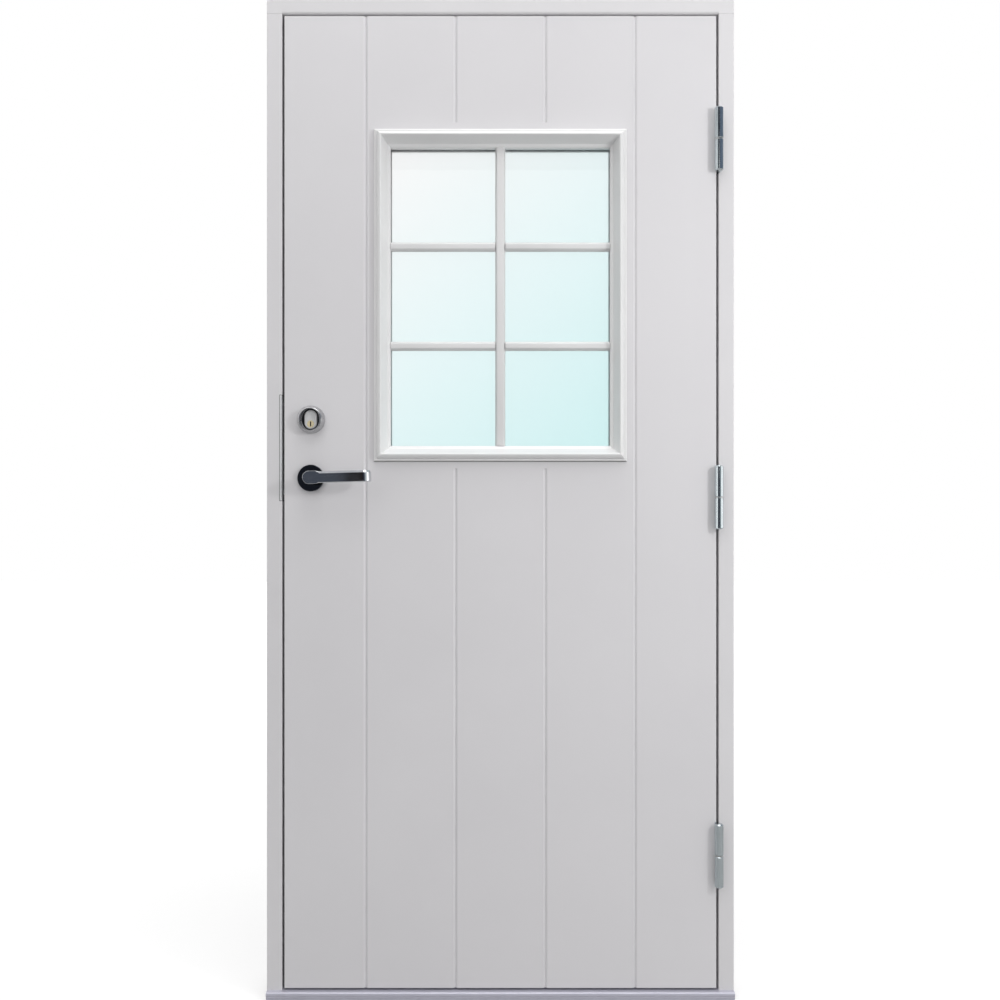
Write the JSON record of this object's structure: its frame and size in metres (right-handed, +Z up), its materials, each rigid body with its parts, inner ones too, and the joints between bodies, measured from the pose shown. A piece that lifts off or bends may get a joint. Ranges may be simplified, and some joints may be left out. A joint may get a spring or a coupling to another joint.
{
  "type": "front door set with glazed leaf and frame",
  "caption": "White outward-opening front door in its frame: grooved insulated leaf, small-paned window with mitred trim, lever handle, lock cylinder and lift-off hinges.",
  "frame": {"origin": "middle of the threshold's underside", "axes": "+Z up, +X to the right seen from outside, -Y out of the front of the door"},
  "size_m": [0.988, 0.178, 2.115],
  "materials": {
    "white_paint": "satin white paint",
    "oiled_timber": "oiled hardwood",
    "aluminium": "mill finish",
    "seal_rubber": "black rubber",
    "zinc_steel": "bright zinc",
    "clear_glass": "clear",
    "foam": "rigid foam",
    "bright_chrome": "polished chrome",
    "satin_steel": "satin",
    "plug_brass": "polished brass"
  },
  "bodies": {
    "frame": {"frame_head": "white_paint", "lock_jamb": "white_paint", "hinge_jamb": "white_paint", "threshold_base": "oiled_timber", "threshold_nosing": "aluminium", "weather_seal": "seal_rubber", "strike_plate": "zinc_steel", "hinge_washers": "zinc_steel", "hinge_frame_half_upper": "zinc_steel", "hinge_frame_half_middle": "zinc_steel", "hinge_frame_half_lower": "zinc_steel"},
    "leaf": {"outer_skin": "white_paint", "inner_skin": "white_paint", "lock_stile": "white_paint", "hinge_stile": "white_paint", "top_rail": "white_paint", "bottom_rail": "white_paint", "outer_trim_top": "white_paint", "outer_trim_bottom": "white_paint", "outer_trim_left": "white_paint", "outer_trim_right": "white_paint", "inner_trim_top": "white_paint", "inner_trim_bottom": "white_paint", "inner_trim_left": "white_paint", "inner_trim_right": "white_paint", "glass_spacer": "aluminium", "lock_faceplate": "zinc_steel", "lock_bolts": "zinc_steel", "hinge_leaf_half_upper": "zinc_steel", "hinge_leaf_half_middle": "zinc_steel", "hinge_leaf_half_lower": "zinc_steel", "outer_glass_pane": "clear_glass", "inner_glass_pane": "clear_glass", "insulation_core": "foam", "outer_handle_rose": "bright_chrome", "inner_handle_rose": "bright_chrome", "thumb_turn_rose": "bright_chrome", "thumb_turn": "bright_chrome", "cylinder_ring": "satin_steel", "lock_cylinder": "satin_steel"},
    "handle": {"outer_lever": "bright_chrome", "inner_lever": "bright_chrome", "handle_spindle": "zinc_steel"},
    "plug": {"key_plug": "plug_brass"}
  },
  "joints": [
    {"name": "door_swing", "type": "hinge", "parent": "frame", "child": "leaf", "pos_m": [0.46, -0.065, 1.062], "axis": [0, 0, 1], "range_deg": [0, 110]},
    {"name": "handle_turn", "type": "hinge", "parent": "leaf", "child": "handle", "pos_m": [-0.4, -0.0215, 1.1025], "axis": [0, 1, 0], "range_deg": [0, 45], "stiffness_Nm_per_rad": 2, "springref_deg": -34.38},
    {"name": "key_plug_turn", "type": "hinge", "parent": "leaf", "child": "plug", "pos_m": [-0.4, -0.0465, 1.2165], "axis": [0, 1, 0], "range_deg": [-90, 90]}
  ]
}
